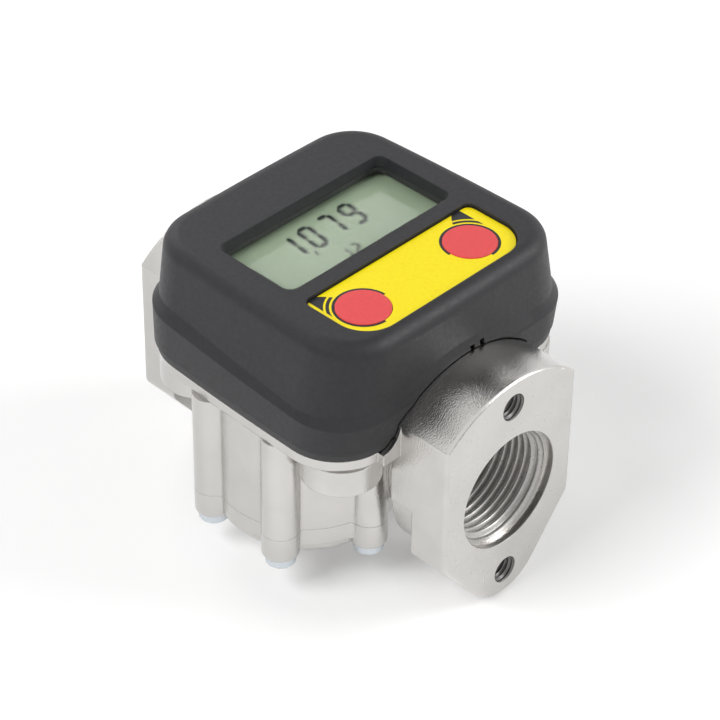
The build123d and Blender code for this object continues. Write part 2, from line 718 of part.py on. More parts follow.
def housing_base():
    """Lower half of the housing: foot flange on the deck, walls, floor and screw posts."""
    foot_outline = bowed_outline(BASE_HALF_X, BASE_HALF_Y, DECK_CORNER_R)
    foot = upright(foot_outline, BASE_BOTTOM, SKIRT_BOTTOM)
    foot = fillet(foot.edges().group_by(Axis.Z)[-1], DECK_EDGE_R)
    slab = upright(Rectangle(2 * BASE_HALF_X, 2 * BASE_HALF_Y), SKIRT_BOTTOM, HOUSING_SPLIT)
    walls = housing_form(0, LID_TOP) & slab
    room = housing_form(HOUSING_WALL, LID_TOP)
    base = foot + (walls - room)
    for x, y in head_screw_places():
        base += round_bar(POST_R, SKIRT_BOTTOM, HOUSING_SPLIT, x, y)
        base -= round_bar(HEAD_SCREW_R + SCREW_PASS_GAP, BASE_BOTTOM, HOUSING_SPLIT, x, y)
    base -= sensor_slot()
    return base - saddle_cut(SADDLE_GAP)


def sensor_slot():
    """Slot in the housing floor that the sensor board passes through."""
    half_x = SENSOR_BOARD_WIDTH / 2 + SENSOR_GAP
    half_y = SENSOR_BOARD_THICK / 2 + SENSOR_GAP
    x_pair = (SENSOR_X - half_x, SENSOR_X + half_x)
    return block(x_pair, (-half_y, half_y), (BASE_BOTTOM, SKIRT_BOTTOM))


def housing_lid():
    """Upper half of the housing: window, raised label pad, button holes and screw posts."""
    slab = upright(Rectangle(2 * BASE_HALF_X, 2 * BASE_HALF_Y), HOUSING_SPLIT, LABEL_BOTTOM)
    shell = housing_form(0, LID_TOP) & slab
    room = housing_form(HOUSING_WALL, LENS_TOP)
    lid = shell - room
    for x, y in head_screw_places():
        lid += round_bar(POST_R, HOUSING_SPLIT, LENS_TOP, x, y)
    lid += upright(label_outline(-LABEL_FIT), LENS_TOP, LABEL_BOTTOM)
    for x, y in BUTTON_PLACES.values():
        guide_r = BUTTON_COLLAR_R + BUTTON_GAP + HOUSING_WALL / 2
        lid += round_bar(guide_r, COLLAR_BOTTOM - BUTTON_TRAVEL, LABEL_BOTTOM, x, y)
    for x, y in BUTTON_PLACES.values():
        lid -= round_bar(BUTTON_R + BUTTON_GAP, COLLAR_TOP, LABEL_BOTTOM, x, y)
        lid -= round_bar(BUTTON_COLLAR_R + BUTTON_GAP, COLLAR_BOTTOM - BUTTON_TRAVEL, COLLAR_TOP, x, y)
    lid -= upright(window_outline(window_shrink()), LENS_TOP, LID_TOP)
    for x, y in head_screw_places():
        lid -= round_bar(HEAD_SCREW_R + SCREW_PASS_GAP, HOUSING_SPLIT, LID_TOP, x, y)
        head_seat = LID_TOP - HEAD_SCREW_HEAD_SINK - HEAD_SCREW_HEAD_HEIGHT
        lid -= round_bar(HEAD_SCREW_HEAD_R + SCREW_PASS_GAP, head_seat, LID_TOP, x, y)
    return lid


def housing_gasket():
    """Flat gasket between the deck and the foot of the housing."""
    half_x = BASE_HALF_X - GASKET_WIDTH
    half_y = BASE_HALF_Y - GASKET_WIDTH
    outer = bowed_outline(half_x, half_y, DECK_CORNER_R - GASKET_WIDTH)
    inner_r = DECK_CORNER_R - 2 * GASKET_WIDTH
    inner = bowed_outline(half_x - GASKET_WIDTH, half_y - GASKET_WIDTH, inner_r)
    return upright(outer - inner, DECK_HEIGHT, BASE_BOTTOM)


def head_screws():
    """Four long screws under the rubber that clamp the housing to the casting."""
    head_top = LID_TOP - HEAD_SCREW_HEAD_SINK
    head_foot = head_top - HEAD_SCREW_HEAD_HEIGHT
    screws = []
    for x, y in head_screw_places():
        head = round_bar(HEAD_SCREW_HEAD_R, head_foot, head_top)
        head = fillet(head.edges().group_by(Axis.Z)[-1], SCREW_HEAD_EDGE_R)
        shank = round_bar(HEAD_SCREW_R, DECK_HEIGHT - HEAD_SCREW_BITE, head_foot)
        screws.append(Pos(x, y, 0) * (head + shank))
    return screws


def window_lens():
    """Clear pane under the lid's window edge."""
    shrink = window_shrink() - LENS_RIM
    return upright(window_outline(shrink), LENS_TOP - LENS_THICK, LENS_TOP)


def lcd_rectangle(grow):
    """Outline of the display glass, grown by an amount."""
    return Pos(0, WINDOW_Y) * Rectangle(LCD_WIDTH + 2 * grow, LCD_DEPTH + 2 * grow)


def lcd_panel():
    """Liquid-crystal display glass."""
    return upright(lcd_rectangle(0), LCD_BOTTOM, LCD_TOP)


def display_frame():
    """Frame that carries the display glass and the lens above the board."""
    frame = upright(lcd_rectangle(FRAME_WALL) - lcd_rectangle(LENS_FIT), BOARD_TOP, LENS_TOP - LENS_THICK)
    ledge = lcd_rectangle(FRAME_WALL) - lcd_rectangle(-FRAME_WALL - STRIP_WIDTH - LENS_FIT)
    frame += upright(ledge, LCD_BOTTOM - FRAME_WALL, LCD_BOTTOM)
    for x, y in strip_places():
        slot = Pos(x, y) * Rectangle(STRIP_LENGTH + 2 * LENS_FIT, STRIP_WIDTH + 2 * LENS_FIT)
        frame -= upright(slot, BOARD_TOP, LCD_BOTTOM)
    return frame


def strip_places():
    """Contact strips along the front and rear edges of the display glass."""
    offset = LCD_DEPTH / 2 - FRAME_WALL - STRIP_WIDTH / 2
    return [(0, WINDOW_Y - offset), (0, WINDOW_Y + offset)]


def contact_strips():
    """Elastomer strips that join the display glass to the board."""
    strip = Rectangle(STRIP_LENGTH, STRIP_WIDTH)
    return [upright(Pos(x, y) * strip, BOARD_TOP, LCD_BOTTOM) for x, y in strip_places()]


def keypad_label():
    """Thin overlay on the raised pad, with a hole for each button."""
    label = label_outline(-LABEL_FIT)
    for x, y in BUTTON_PLACES.values():
        label -= Pos(x, y) * Circle(BUTTON_R + BUTTON_GAP)
    return upright(label, LABEL_BOTTOM, LABEL_TOP)


def button(place):
    """Push button: domed cap, retaining collar and a stem down to the switch."""
    cap = round_bar(BUTTON_R, COLLAR_TOP, BUTTON_TOP)
    cap = fillet(cap.edges().group_by(Axis.Z)[-1], BUTTON_PROUD)
    collar = round_bar(BUTTON_COLLAR_R, COLLAR_BOTTOM, COLLAR_TOP)
    stem = round_bar(STEM_R, PLUNGER_TOP, COLLAR_BOTTOM)
    return Pos(place[0], place[1], 0) * (cap + collar + stem)


def switch_plunger(place):
    """Plunger of the push switch under a button; it moves with the button."""
    return round_bar(PLUNGER_R, SWITCH_TOP - PLUNGER_SINK, PLUNGER_TOP, *place)


def push_switches():
    """Bodies of the two push switches on the board, each with a well for its plunger."""
    switches = []
    for x, y in BUTTON_PLACES.values():
        case = upright(Pos(x, y) * Rectangle(SWITCH_SIDE, SWITCH_SIDE), BOARD_TOP, SWITCH_TOP)
        well_foot = SWITCH_TOP - PLUNGER_SINK - BUTTON_TRAVEL - PLUNGER_GAP
        case -= round_bar(PLUNGER_R + PLUNGER_GAP, well_foot, SWITCH_TOP, x, y)
        switches.append(case)
    return switches


def circuit_board():
    """Main board, notched round the screw posts."""
    board = Rectangle(2 * BOARD_HALF_X, 2 * BOARD_HALF_Y)
    for x, y in head_screw_places():
        board -= Pos(x, y) * Circle(POST_R + SENSOR_GAP)
    return upright(board, BOARD_BOTTOM, BOARD_TOP)


def board_standoffs():
    """Four standoffs that carry the board above the housing floor."""
    standoffs = []
    for side in (-1, 1):
        for end in (-1, 1):
            x = side * STANDOFF_X
            y = end * (BOARD_HALF_Y - STANDOFF_R)
            standoffs.append(round_bar(STANDOFF_R, SKIRT_BOTTOM, BOARD_BOTTOM, x, y))
    return standoffs


def board_parts():
    """Controller chip and crystal on the board, and a capacitor under it."""
    chip_outline = Pos(0, BUTTON_Y) * Rectangle(CHIP_SIDE, CHIP_SIDE)
    chip = upright(chip_outline, BOARD_TOP, BOARD_TOP + CHIP_THICK)
    crystal_outline = Pos(CHIP_SIDE, BUTTON_Y) * Rectangle(CRYSTAL_WIDTH, CRYSTAL_LENGTH)
    crystal = upright(crystal_outline, BOARD_TOP, BOARD_TOP + CRYSTAL_HEIGHT)
    capacitor_foot = BOARD_BOTTOM - CAPACITOR_HEIGHT
    capacitor = round_bar(CAPACITOR_R, capacitor_foot, BOARD_BOTTOM, CAPACITOR_X, CAPACITOR_Y)
    return [chip, crystal, capacitor]


def battery_places():
    """Middle lines of the two cells, which lie along X."""
    return [CELL_Y - CELL_PITCH / 2, CELL_Y + CELL_PITCH / 2]


def cell_height():
    """Height of the cells' middle lines above the port axis."""
    return SKIRT_BOTTOM + HOLDER_FLOOR + CELL_R + CELL_FIT


def lying_bar(radius, x_pair, y, z):
    """Round bar that lies along X."""
    middle = (x_pair[0] + x_pair[1]) / 2
    return Pos(middle, y, z) * Rot(0, 90, 0) * Cylinder(radius, x_pair[1] - x_pair[0])


def batteries():
    """Two small round cells, each with its raised terminal."""
    cells = []
    half = CELL_LENGTH / 2
    for y, side in zip(battery_places(), (-1, 1)):
        z = cell_height()
        shoulder = side * (half - CELL_TIP_HEIGHT)
        can = lying_bar(CELL_R, sorted((-side * half, shoulder)), y, z)
        tip = lying_bar(CELL_TIP_R, sorted((shoulder, side * half)), y, z)
        cells.append(can + tip)
    return cells


def battery_holder():
    """Open tray with a round channel for each cell and upright ends."""
    half_x = CELL_LENGTH / 2 + CONTACT_THICK
    low_y = battery_places()[0] - CELL_R - CELL_FIT - HOLDER_WALL
    high_y = battery_places()[1] + CELL_R + CELL_FIT + HOLDER_WALL
    x_pair = (-half_x - HOLDER_WALL, half_x + HOLDER_WALL)
    tray = block(x_pair, (low_y, high_y), (SKIRT_BOTTOM, cell_height()))
    for y in battery_places():
        tray -= lying_bar(CELL_R + CELL_FIT, (-half_x, half_x), y, cell_height())
    return tray


def battery_contacts():
    """Spring plates at the ends of the cells."""
    plates = []
    start = CELL_LENGTH / 2
    for side in (-1, 1):
        for y in battery_places():
            x_pair = sorted((side * start, side * (start + CONTACT_THICK)))
            plates.append(lying_bar(CELL_R - CELL_FIT, x_pair, y, cell_height()))
    return plates


def sensor_board():
    """Upright board from the main board down to the pocket above the magnets."""
    half = SENSOR_BOARD_WIDTH / 2
    thick = SENSOR_BOARD_THICK / 2
    foot = CHAMBER_TOP + SENSOR_FLOOR
    return block((SENSOR_X - half, SENSOR_X + half), (-thick, thick), (foot, BOARD_BOTTOM))


def pulse_sensor():
    """Magnetic sensor on the foot of its board."""
    half = SENSOR_WIDTH / 2
    near = SENSOR_BOARD_THICK / 2
    foot = CHAMBER_TOP + SENSOR_FLOOR
    x_pair = (SENSOR_X - half, SENSOR_X + half)
    return block(x_pair, (near, near + SENSOR_THICK), (foot, foot + SENSOR_HEIGHT))


def write_part(name, piece):
    """Move a piece, or a list of like pieces, to the file's frame and write it."""
    pieces = piece if isinstance(piece, list) else [piece]
    moved = [Pos(0, FRAME_SHIFT, 0) * one for one in pieces]
    export_step(moved[0] if len(moved) == 1 else Compound(children=moved), f"parts/{name}.step")


def main():
    """Build every piece and write it to its own file."""
    os.makedirs("parts", exist_ok=True)
    write_part("meter_body", meter_body())
    write_part("bottom_cover", bottom_cover())
    write_part("cover_seal", cover_seal())
    write_part("cover_screws", cover_screws())
    write_part("left_gear", gear(-GEAR_X))
    write_part("right_gear", right_gear())
    write_part("left_gear_bush", gear_bush(-GEAR_X))
    write_part("right_gear_bush", gear_bush(GEAR_X))
    write_part("gear_pins", gear_pins())
    write_part("gear_magnets", gear_magnets())
    write_part("housing_gasket", housing_gasket())
    write_part("housing_base", housing_base())
    write_part("housing_lid", housing_lid())
    write_part("head_screws", head_screws())
    write_part("rubber_cover", rubber_cover())
    write_part("window_lens", window_lens())
    write_part("lcd_panel", lcd_panel())
    write_part("display_frame", display_frame())
    write_part("contact_strips", contact_strips())
    write_part("keypad_label", keypad_label())
    for name, place in BUTTON_PLACES.items():
        write_part(f"{name}_button", button(place))
        write_part(f"{name}_switch_plunger", switch_plunger(place))
    write_part("push_switches", push_switches())
    write_part("circuit_board", circuit_board())
    write_part("board_standoffs", board_standoffs())
    write_part("board_parts", board_parts())
    write_part("batteries", batteries())
    write_part("battery_holder", battery_holder())
    write_part("battery_contacts", battery_contacts())
    write_part("sensor_board", sensor_board())
    write_part("pulse_sensor", pulse_sensor())


main()
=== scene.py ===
"""Digital fuel meter: finishes, threads, display digits, label print, light and camera."""
import json
from math import cos, pi, radians, sin

import bpy
import numpy as np
from bpy.props import FloatProperty, FloatVectorProperty, PointerProperty
from mathutils import Matrix, Vector


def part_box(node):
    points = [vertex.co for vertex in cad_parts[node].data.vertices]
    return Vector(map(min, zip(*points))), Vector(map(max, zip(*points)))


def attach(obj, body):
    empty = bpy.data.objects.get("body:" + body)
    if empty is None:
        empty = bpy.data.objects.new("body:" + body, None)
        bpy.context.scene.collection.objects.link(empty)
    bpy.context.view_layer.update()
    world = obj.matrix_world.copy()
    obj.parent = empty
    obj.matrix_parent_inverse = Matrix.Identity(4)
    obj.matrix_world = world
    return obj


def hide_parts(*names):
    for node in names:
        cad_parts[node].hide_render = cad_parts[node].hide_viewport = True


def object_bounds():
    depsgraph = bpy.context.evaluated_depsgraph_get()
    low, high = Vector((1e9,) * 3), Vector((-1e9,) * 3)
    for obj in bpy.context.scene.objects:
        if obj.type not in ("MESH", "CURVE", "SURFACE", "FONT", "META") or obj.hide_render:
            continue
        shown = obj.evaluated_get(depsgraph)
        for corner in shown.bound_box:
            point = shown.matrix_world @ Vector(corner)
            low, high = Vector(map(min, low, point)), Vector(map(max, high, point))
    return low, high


bl_info = {
    "name": "Digital fuel meter",
    "version": (1, 0, 0),
    "blender": (4, 5, 0),
    "location": "3D View > Sidebar > Meter",
    "description": "Dresses the packed fuel meter with finishes, threads, digits and print",
    "category": "Object",
}

MM = 0.001
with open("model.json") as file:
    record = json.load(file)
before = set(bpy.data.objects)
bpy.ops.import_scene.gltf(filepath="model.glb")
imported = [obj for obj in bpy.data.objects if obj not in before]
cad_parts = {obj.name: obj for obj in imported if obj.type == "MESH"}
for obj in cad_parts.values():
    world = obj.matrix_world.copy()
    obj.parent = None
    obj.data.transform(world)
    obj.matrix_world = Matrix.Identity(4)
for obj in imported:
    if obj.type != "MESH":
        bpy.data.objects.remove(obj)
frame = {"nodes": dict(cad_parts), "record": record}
CAD_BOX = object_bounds()

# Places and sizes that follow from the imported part
BODY_LOW, BODY_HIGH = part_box("meter_body")
LCD_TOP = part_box("lcd_panel")[1].z
LABEL_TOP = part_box("keypad_label")[1].z
MID_Y = (BODY_LOW.y + BODY_HIGH.y) / 2
FRONT_Y = BODY_LOW.y
REAR_Y = BODY_HIGH.y
FRONT_PORT, REAR_PORT = [m for m in frame["record"]["mounts"] if m["kind"] == "threaded_hole"]
BOLT_PATTERN = next(m for m in frame["record"]["mounts"] if m["kind"] == "bolt_pattern")
PORT_R = FRONT_PORT["dims"]["r_mm"] * MM
PORT_LENGTH = FRONT_PORT["dims"]["length_mm"] * MM
BOLT_R = BOLT_PATTERN["dims"]["hole_r_mm"] * MM
BOLT_SPACING = BOLT_PATTERN["dims"]["spacing_y_mm"] * MM

# Depth of a threaded flange hole
BOLT_DEPTH = 10.5 * MM


def button_centre(node):
    """Middle of a button's round cap, in X and Y."""
    low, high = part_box(node)
    return (low.x + high.x) / 2, (low.y + high.y) / 2


BUTTONS = {"total": button_centre("total_button"), "reset": button_centre("reset_button")}


# Sizes and colours that a user may change

class MeterMetal(bpy.types.PropertyGroup):
    """Finish of the casting and its screws."""
    cast_colour: FloatVectorProperty(
        name="Casting", description="Nickel-plated casting", subtype="COLOR", size=3,
        min=0, max=1, default=(0.60, 0.585, 0.565))
    screw_colour: FloatVectorProperty(
        name="Screws", description="Zinc-plated screws", subtype="COLOR", size=3,
        min=0, max=1, default=(0.66, 0.71, 0.75))
    cast_bevel: FloatProperty(
        name="Casting edge", description="Radius on the casting's edges", unit="LENGTH",
        min=0, max=0.002, default=0.0004)
    grain_height: FloatProperty(
        name="Casting grain", description="Height of the fine cast grain", unit="LENGTH",
        min=0, max=0.001, default=0.00009)


class MeterHead(bpy.types.PropertyGroup):
    """Finish of the display head."""
    rubber_colour: FloatVectorProperty(
        name="Rubber", description="Soft outer cover", subtype="COLOR", size=3,
        min=0, max=1, default=(0.021, 0.021, 0.0235))
    cover_bevel: FloatProperty(
        name="Rubber edge", description="Radius on the rubber's edges", unit="LENGTH",
        min=0, max=0.002, default=0.0005)
    housing_colour: FloatVectorProperty(
        name="Housing", description="Hard housing under the rubber", subtype="COLOR", size=3,
        min=0, max=1, default=(0.030, 0.030, 0.032))
    lcd_colour: FloatVectorProperty(
        name="Display", description="Reflective display glass", subtype="COLOR", size=3,
        min=0, max=1, default=(0.33, 0.42, 0.29))
    digit_colour: FloatVectorProperty(
        name="Digits", description="Dark display segments", subtype="COLOR", size=3,
        min=0, max=1, default=(0.004, 0.010, 0.007))
    label_colour: FloatVectorProperty(
        name="Label", description="Printed field of the keypad label", subtype="COLOR", size=3,
        min=0, max=1, default=(1.0, 0.80, 0.0))
    print_colour: FloatVectorProperty(
        name="Label print", description="Black print on the label", subtype="COLOR", size=3,
        min=0, max=1, default=(0.010, 0.009, 0.012))
    button_colour: FloatVectorProperty(
        name="Buttons", description="Push buttons", subtype="COLOR", size=3,
        min=0, max=1, default=(0.80, 0.075, 0.080))


class MeterDisplay(bpy.types.PropertyGroup):
    """Sizes of the segments in the display."""
    digit_height: FloatProperty(
        name="Digit height", description="Height of a large digit", unit="LENGTH",
        min=0.001, max=0.02, default=0.0104)
    digit_width: FloatProperty(
        name="Digit width", description="Width of a large digit", unit="LENGTH",
        min=0.001, max=0.02, default=0.0050)
    digit_stroke: FloatProperty(
        name="Stroke", description="Width of a large digit's segments", unit="LENGTH",
        min=0.0001, max=0.005, default=0.00135)
    digit_pitch: FloatProperty(
        name="Pitch", description="From one large digit to the next", unit="LENGTH",
        min=0.001, max=0.02, default=0.0075)


class MeterThread(bpy.types.PropertyGroup):
    """Sizes of the threads."""
    port_pitch: FloatProperty(
        name="Port pitch", description="Pitch of the one-inch pipe thread", unit="LENGTH",
        min=0.0001, max=0.01, default=0.002309)
    port_depth: FloatProperty(
        name="Port thread height", description="Height of the pipe thread's ridge", unit="LENGTH",
        min=0.0001, max=0.005, default=0.00147)
    bolt_pitch: FloatProperty(
        name="Bolt pitch", description="Pitch of the flange bolts' thread", unit="LENGTH",
        min=0.0001, max=0.01, default=0.00125)
    bolt_depth: FloatProperty(
        name="Bolt thread height", description="Height of the bolt thread's ridge", unit="LENGTH",
        min=0.0001, max=0.005, default=0.00065)


def metal():
    """Finish of the metal, as the user has set it."""
    return bpy.context.scene.meter_metal


def head():
    """Finish of the head, as the user has set it."""
    return bpy.context.scene.meter_head


# Materials

# Bands of a noise's value that are stretched over a whole change: a narrower one has more contrast
WHOLE = (0.0, 1.0)
WIDE = (0.3, 0.7)
MEDIUM = (0.32, 0.68)
NARROW = (0.35, 0.65)

# Sockets of the Mix node that carry colours
MIX_FIRST, MIX_SECOND, MIX_RESULT = 6, 7, 2

BEVEL_SAMPLES = 4
PORT_THREAD_SHARE = 0.95
BOLT_THREAD_SHARE = 0.35
SCREW_ROUGHNESS = 0.34
LABEL_ROUGHNESS = 0.40
BUTTON_ROUGHNESS = 0.38
INK_ROUGHNESS = 0.40
DIGIT_ROUGHNESS = 0.5
PRINT_SHEEN_DRIFT = 0.05

# Lowest and highest roughness of plate, as shares of its own
PLATE_SHEEN = (0.8, 1.25)

# Plated slots: colour and roughness
PLATED = {
    "pin_steel": ((0.58, 0.58, 0.60), 0.22),
    "magnet": ((0.66, 0.66, 0.68), 0.18),
    "contact": ((0.72, 0.60, 0.30), 0.28),
}

# Scale of a moulding's clouds of colour and of sheen, as shares of its grain's, and how far its
# roughness drifts
MOULD_CLOUD_SCALE = 0.12
MOULD_SHEEN_SCALE = 0.4
MOULD_SHEEN_DRIFT = 0.06

# Roughness of the hard housing, its grain in turns per metre, the grain's height and its clouding
HOUSING_MOULD = (0.48, 3000, 0.00003, 0.06)

# Other moulded slots: colour, and the same four values
MOULDED = {
    "seal_rubber": ((0.02, 0.02, 0.02), 0.55, 2500, 0.00003, 0.06),
    "gear_plastic": ((0.74, 0.72, 0.66), 0.42, 2500, 0.00001, 0.06),
    "bush": ((0.06, 0.06, 0.06), 0.40, 3000, 0.00001, 0.06),
    "frame_plastic": ((0.05, 0.05, 0.05), 0.45, 3000, 0.00002, 0.06),
    "strip": ((0.18, 0.18, 0.20), 0.6, 4000, 0.00002, 0.06),
    "switch": ((0.03, 0.03, 0.03), 0.4, 3000, 0.00001, 0.06),
    "electronics": ((0.035, 0.035, 0.04), 0.42, 4000, 0.00001, 0.06),
    "board": ((0.015, 0.14, 0.05), 0.35, 2000, 0.00001, 0.12),
    "cell_can": ((0.12, 0.20, 0.32), 0.3, 1200, 0.00001, 0.06),
}


def new_material(name):
    """New node material with a shader and an output; returns it with its node tree and shader."""
    material = bpy.data.materials.new(name)
    material.use_nodes = True
    tree = material.node_tree
    shader = next(n for n in tree.nodes if n.type == "BSDF_PRINCIPLED")
    return material, tree, shader


def add(tree, kind, **values):
    """New node with its properties set."""
    node = tree.nodes.new(kind)
    for key, value in values.items():
        setattr(node, key, value)
    return node


def noise(tree, scale, detail):
    """Noise on the object's own coordinates, in turns per metre."""
    coordinates = add(tree, "ShaderNodeTexCoord")
    texture = add(tree, "ShaderNodeTexNoise")
    texture.inputs["Scale"].default_value = scale
    texture.inputs["Detail"].default_value = detail
    tree.links.new(coordinates.outputs["Object"], texture.inputs["Vector"])
    return texture.outputs["Fac"]


def spread(tree, value, low, high, band=WHOLE):
    """Stretches the part of a value that lies in a band over a range from low to high."""
    node = add(tree, "ShaderNodeMapRange")
    tree.links.new(value, node.inputs["Value"])
    node.inputs["From Min"].default_value = band[0]
    node.inputs["From Max"].default_value = band[1]
    node.inputs["To Min"].default_value = low
    node.inputs["To Max"].default_value = high
    return node.outputs["Result"]


def scaled(colour, share):
    """A colour, lighter or darker by a share."""
    return tuple(min(1.0, c * share) for c in colour)


def clouded_colour(tree, shader, colour, darker, lighter, scale, detail, band=WIDE):
    """Base colour that drifts with a noise between two shares of a colour."""
    node = add(tree, "ShaderNodeMix", data_type="RGBA")
    drift = spread(tree, noise(tree, scale, detail), 0, 1, band)
    tree.links.new(drift, node.inputs["Factor"])
    node.inputs[MIX_FIRST].default_value = (*scaled(colour, darker), 1)
    node.inputs[MIX_SECOND].default_value = (*scaled(colour, lighter), 1)
    tree.links.new(node.outputs[MIX_RESULT], shader.inputs["Base Color"])


def clouded_sheen(tree, shader, low, high, scale, detail, band=WIDE):
    """Roughness that drifts with a noise between two values."""
    drift = spread(tree, noise(tree, scale, detail), low, high, band)
    tree.links.new(drift, shader.inputs["Roughness"])


def bump(tree, shader, height, distance, strength, under=None):
    """Bump of a height field over another normal; the distance is the real height in metres."""
    node = add(tree, "ShaderNodeBump")
    node.inputs["Distance"].default_value = distance
    node.inputs["Strength"].default_value = strength
    tree.links.new(height, node.inputs["Height"])
    if under is not None:
        tree.links.new(under, node.inputs["Normal"])
    tree.links.new(node.outputs["Normal"], shader.inputs["Normal"])
    return node.outputs["Normal"]


def round_edges(tree, radius):
    """Normal that shades sharp edges as if they had a small radius."""
    node = add(tree, "ShaderNodeBevel", samples=BEVEL_SAMPLES)
    node.inputs["Radius"].default_value = radius
    return node.outputs["Normal"]


def cast_metal():
    """Plated casting: satin metal, slightly uneven, with fine grain and soft waves."""
    material, tree, shader = new_material("cast_metal")
    colour = metal().cast_colour
    clouded_colour(tree, shader, colour, darker=0.96, lighter=1.03, scale=90, detail=2, band=NARROW)
    shader.inputs["Metallic"].default_value = 1.0
    clouded_sheen(tree, shader, low=0.15, high=0.24, scale=1200, detail=3)
    edges = round_edges(tree, metal().cast_bevel)
    waves = noise(tree, scale=70, detail=1)
    wave = bump(tree, shader, waves, distance=0.00010, strength=0.5, under=edges)
    grain = noise(tree, scale=2400, detail=2)
    bump(tree, shader, grain, distance=metal().grain_height, strength=0.8, under=wave)
    return material


def milled_metal():
    """Plated flat of the flange faces, cut smooth."""
    material, tree, shader = new_material("milled_metal")
    colour = metal().cast_colour
    clouded_colour(tree, shader, colour, darker=0.98, lighter=1.04, scale=60, detail=2, band=NARROW)
    shader.inputs["Metallic"].default_value = 1.0
    clouded_sheen(tree, shader, low=0.22, high=0.28, scale=700, detail=3)
    bump(tree, shader, noise(tree, scale=900, detail=2), distance=0.00001, strength=0.6)
    return material


def turned_metal(name, share):
    """Dull turned metal of a thread, darker than the casting by a share."""
    material, tree, shader = new_material(name)
    colour = scaled(metal().cast_colour, share)
    clouded_colour(tree, shader, colour, darker=0.85, lighter=1.0, scale=1200, detail=3)
    shader.inputs["Metallic"].default_value = 0.55
    clouded_sheen(tree, shader, low=0.26, high=0.40, scale=1500, detail=3)
    return material


def plated_steel(name, colour, roughness):
    """Plated or ground small metal pieces."""
    material, tree, shader = new_material(name)
    clouded_colour(tree, shader, colour, darker=0.93, lighter=1.04, scale=1800, detail=3)
    shader.inputs["Metallic"].default_value = 1.0
    low, high = (roughness * share for share in PLATE_SHEEN)
    clouded_sheen(tree, shader, low, high, scale=2400, detail=3)
    bump(tree, shader, noise(tree, scale=4000, detail=2), distance=0.00001, strength=0.5)
    return material


def moulded(name, colour, roughness, grain_scale, grain_height, cloud):
    """Moulded rubber or plastic: clouded colour and sheen with a fine raised grain."""
    material, tree, shader = new_material(name)
    cloud_scale, sheen_scale = grain_scale * MOULD_CLOUD_SCALE, grain_scale * MOULD_SHEEN_SCALE
    clouded_colour(tree, shader, colour, 1 - cloud, 1 + cloud, scale=cloud_scale, detail=4)
    low, high = roughness - MOULD_SHEEN_DRIFT, roughness + MOULD_SHEEN_DRIFT
    clouded_sheen(tree, shader, low, high, scale=sheen_scale, detail=4)
    grain = noise(tree, scale=grain_scale, detail=4)
    bump(tree, shader, grain, distance=grain_height, strength=0.8)
    return material


def rubber():
    """Matt rubber with fine grain and faint handling marks."""
    material, tree, shader = new_material("cover_rubber")
    colour = head().rubber_colour
    clouded_colour(tree, shader, colour, darker=0.92, lighter=1.09, scale=500, detail=4, band=MEDIUM)
    clouded_sheen(tree, shader, low=0.46, high=0.56, scale=900, detail=4)
    shader.inputs["Specular IOR Level"].default_value = 0.4
    edges = round_edges(tree, head().cover_bevel)
    grain = noise(tree, scale=2600, detail=3)
    bump(tree, shader, grain, distance=0.00005, strength=0.8, under=edges)
    return material


def display_glass():
    """Reflective display glass, slightly uneven in colour."""
    material, tree, shader = new_material("display_glass")
    colour = head().lcd_colour
    clouded_colour(tree, shader, colour, darker=0.94, lighter=1.05, scale=60, detail=2)
    shader.inputs["Specular IOR Level"].default_value = 0.15
    clouded_sheen(tree, shader, low=0.55, high=0.65, scale=3000, detail=2, band=WHOLE)
    return material


def clear_pane():
    """Clear pane: nearly all light goes through, with a faint reflection."""
    material, tree, shader = new_material("clear_pane")
    shader.inputs["Base Color"].default_value = (1, 1, 1, 1)
    shader.inputs["IOR"].default_value = 1.25
    shader.inputs["Transmission Weight"].default_value = 1.0
    shader.inputs["Roughness"].default_value = 0.0
    shine = spread(tree, noise(tree, scale=200, detail=3), low=0.10, high=0.13, band=WIDE)
    tree.links.new(shine, shader.inputs["Alpha"])
    return material


def print_or_painted_shade(name, colour, roughness):
    """Printed or satin plastic film; also the flat painted shadow under the display's digits."""
    material, tree, shader = new_material(name)
    clouded_colour(tree, shader, colour, darker=0.96, lighter=1.03, scale=900, detail=4)
    low, high = roughness - PRINT_SHEEN_DRIFT, roughness + PRINT_SHEEN_DRIFT
    clouded_sheen(tree, shader, low, high, scale=2500, detail=3)
    bump(tree, shader, noise(tree, scale=5000, detail=2), distance=0.000008, strength=0.5)
    return material


def make_finish(slot):
    """New material for a record slot."""
    if slot in PLATED:
        return plated_steel(slot, *PLATED[slot])
    if slot in MOULDED:
        return moulded(slot, *MOULDED[slot])
    makers = {
        "cast_metal": cast_metal,
        "cover_rubber": rubber,
        "lcd": display_glass,
        "lens": clear_pane,
        "screw_steel": lambda: plated_steel(slot, metal().screw_colour, SCREW_ROUGHNESS),
        "housing": lambda: moulded(slot, head().housing_colour, *HOUSING_MOULD),
        "label": lambda: print_or_painted_shade(slot, head().label_colour, LABEL_ROUGHNESS),
        "button": lambda: print_or_painted_shade(slot, head().button_colour, BUTTON_ROUGHNESS),
    }
    return makers[slot]()


def finish_of(slot):
    """Material of a record slot, made once."""
    name = slot + "_finish"
    if name in bpy.data.materials:
        return bpy.data.materials[name]
    material = make_finish(slot)
    material.name = name
    return material


# Meshes

def mesh_object(name, points, faces, material, smooth):
    """Object at the origin from a point array and a list of faces, riding on the meter."""
    mesh = bpy.data.meshes.new(name)
    mesh.from_pydata(points.tolist(), [], faces)
    mesh.validate()
    mesh.update()
    piece = bpy.data.objects.new(name, mesh)
    bpy.context.scene.collection.objects.link(piece)
    mesh.materials.append(material)
    if smooth:
        mesh.shade_smooth()
    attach(piece, "meter")
    return piece


